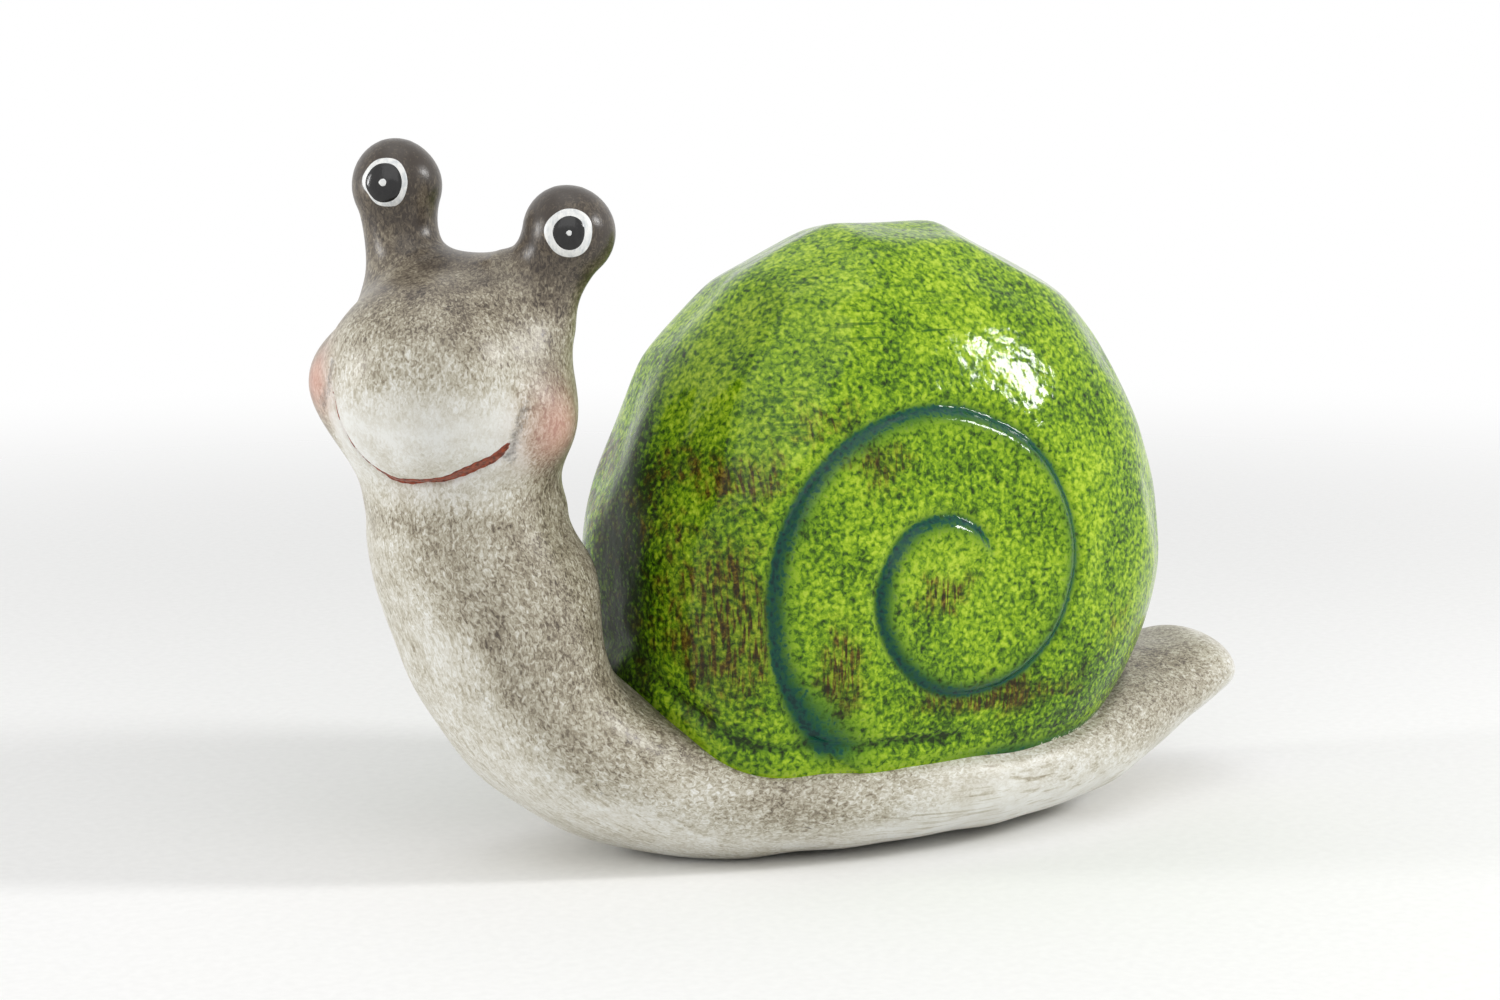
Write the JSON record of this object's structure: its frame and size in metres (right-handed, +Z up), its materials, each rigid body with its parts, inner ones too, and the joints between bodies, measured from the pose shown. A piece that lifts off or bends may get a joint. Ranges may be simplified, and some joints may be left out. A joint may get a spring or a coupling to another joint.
{
  "type": "snail figurine",
  "caption": "Free-standing hollow ceramic snail ornament with a raised, turned head on a curved neck, knobbed eye stalks, a flat foot and a faceted glazed shell with a spiral groove.",
  "frame": {"origin": "on the flat of the foot, under the middle of the shell", "axes": "+Z up, +X towards the tail, -Y to the side that the face turns to"},
  "size_m": [0.3056, 0.118, 0.2066],
  "materials": {
    "body_clay": "satin",
    "shell_glaze": "gloss",
    "joint_slip": "matte",
    "white_enamel": "gloss",
    "dark_enamel": "gloss",
    "red_brown_enamel": "satin"
  },
  "bodies": {
    "root": {"foot": "body_clay", "head": "body_clay", "right_eye_stalk": "body_clay", "left_eye_stalk": "body_clay", "shell": "shell_glaze", "neck_slip_joint": "joint_slip", "shell_slip_joint": "joint_slip", "right_stalk_slip_joint": "joint_slip", "left_stalk_slip_joint": "joint_slip", "right_eye_white": "white_enamel", "left_eye_white": "white_enamel", "right_eye_glint": "white_enamel", "left_eye_glint": "white_enamel", "right_eye_pupil": "dark_enamel", "left_eye_pupil": "dark_enamel", "mouth_paint": "red_brown_enamel"}
  },
  "joints": []
}
